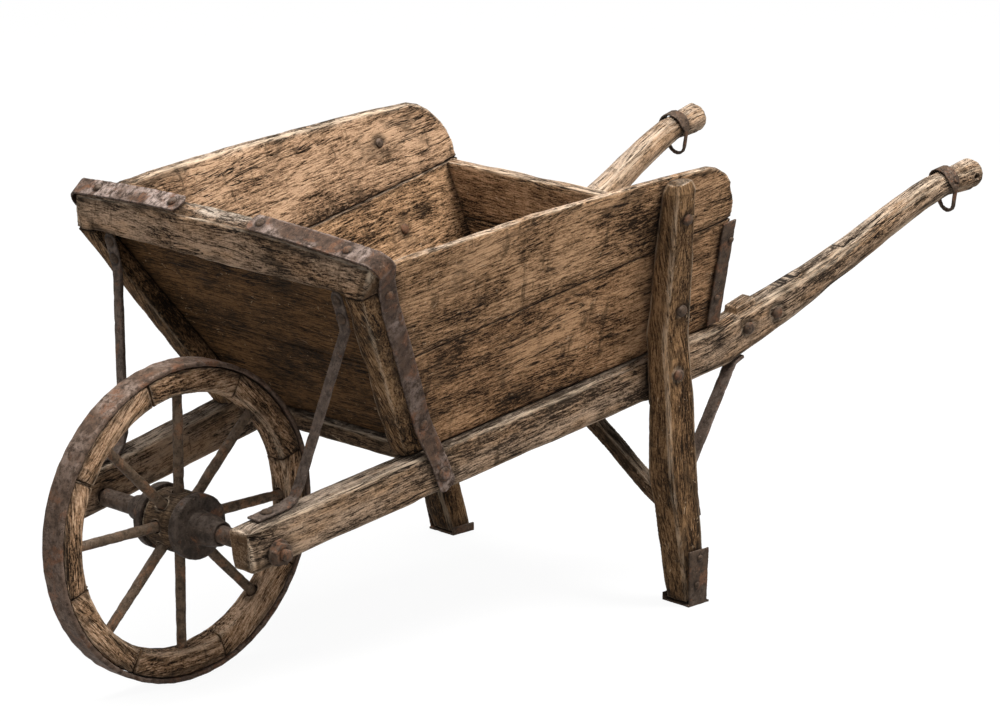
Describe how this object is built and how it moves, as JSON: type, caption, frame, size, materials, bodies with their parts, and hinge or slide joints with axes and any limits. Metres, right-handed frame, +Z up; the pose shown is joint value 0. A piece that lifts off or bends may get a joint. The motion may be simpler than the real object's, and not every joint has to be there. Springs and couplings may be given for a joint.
{
  "type": "wheelbarrow",
  "caption": "Old wooden wheelbarrow: spoked wooden wheel with an iron tyre, open tray with flared sides, two legs, curved handles and rusty iron fittings",
  "frame": {"origin": "middle of the bounding box on the ground plane", "axes": "+X towards the handles, +Y across to the right-hand side seen from the handles, +Z up"},
  "size_m": [1.6542, 0.7408, 0.7026],
  "materials": {
    "shaft_wood": "weathered grey-brown oak, worn paler at the handles",
    "side_wood": "weathered brown oak boards with dark grain, cracks and nail stains",
    "front_wood": "dark weathered oak boards",
    "batten_wood": "dark weathered oak posts",
    "cap_wood": "rough weathered oak rail with a grey worn top",
    "tail_wood": "weathered oak boards",
    "floor_wood": "worn oak floor boards",
    "bearer_wood": "dark oak cross bearers",
    "leg_wood": "weathered oak legs with a worn edge",
    "strut_wood": "dark oak struts",
    "felloe_wood": "weathered oak rim pieces",
    "nave_wood": "dark greased oak nave",
    "tyre_iron": "rusty worn iron tyre with purple-brown rust",
    "spoke_iron": "dark rusty iron",
    "hub_iron": "dark rusty iron",
    "axle_iron": "rusty iron",
    "strap_iron": "rusty iron strap with a bluish worn sheen",
    "brace_iron": "rusty iron bar",
    "fitting_iron": "dark rusty flat iron"
  },
  "bodies": {
    "barrow": {"shaft_left": "shaft_wood", "shaft_right": "shaft_wood", "side_lower_left": "side_wood", "side_lower_right": "side_wood", "side_upper_left": "side_wood", "side_upper_right": "side_wood", "front_board_lower": "front_wood", "front_board_upper": "front_wood", "front_batten_left": "batten_wood", "front_batten_right": "batten_wood", "front_cap_rail": "cap_wood", "tail_board_lower": "tail_wood", "tail_board_upper": "tail_wood", "floor_board_1": "floor_wood", "floor_board_2": "floor_wood", "floor_board_3": "floor_wood", "front_sill": "bearer_wood", "middle_bearer": "bearer_wood", "rear_bearer": "bearer_wood", "leg_left": "leg_wood", "leg_right": "leg_wood", "leg_strut_left": "strut_wood", "leg_strut_right": "strut_wood", "axle": "axle_iron", "axle_nut_left": "axle_iron", "axle_nut_right": "axle_iron", "corner_strap_left": "strap_iron", "corner_strap_right": "strap_iron", "front_brace_left": "brace_iron", "front_brace_right": "brace_iron", "leg_brace_left": "brace_iron", "leg_brace_right": "brace_iron", "rear_iron_left": "fitting_iron", "rear_iron_right": "fitting_iron", "foot_iron_left": "fitting_iron", "foot_iron_right": "fitting_iron", "handle_strap_left": "fitting_iron", "handle_strap_right": "fitting_iron"},
    "wheel": {"tyre": "tyre_iron", "felloe_1": "felloe_wood", "felloe_2": "felloe_wood", "felloe_3": "felloe_wood", "felloe_4": "felloe_wood", "felloe_5": "felloe_wood", "felloe_6": "felloe_wood", "felloe_7": "felloe_wood", "felloe_8": "felloe_wood", "spoke_1": "spoke_iron", "spoke_2": "spoke_iron", "spoke_3": "spoke_iron", "spoke_4": "spoke_iron", "spoke_5": "spoke_iron", "spoke_6": "spoke_iron", "spoke_7": "spoke_iron", "spoke_8": "spoke_iron", "hub": "nave_wood", "hub_iron_left": "hub_iron", "hub_iron_right": "hub_iron"}
  },
  "joints": [
    {"name": "wheel_spin", "type": "hinge", "parent": "barrow", "child": "wheel", "pos_m": [-0.5871, 0, 0.24], "axis": [0, 1, 0], "continuous": true}
  ]
}
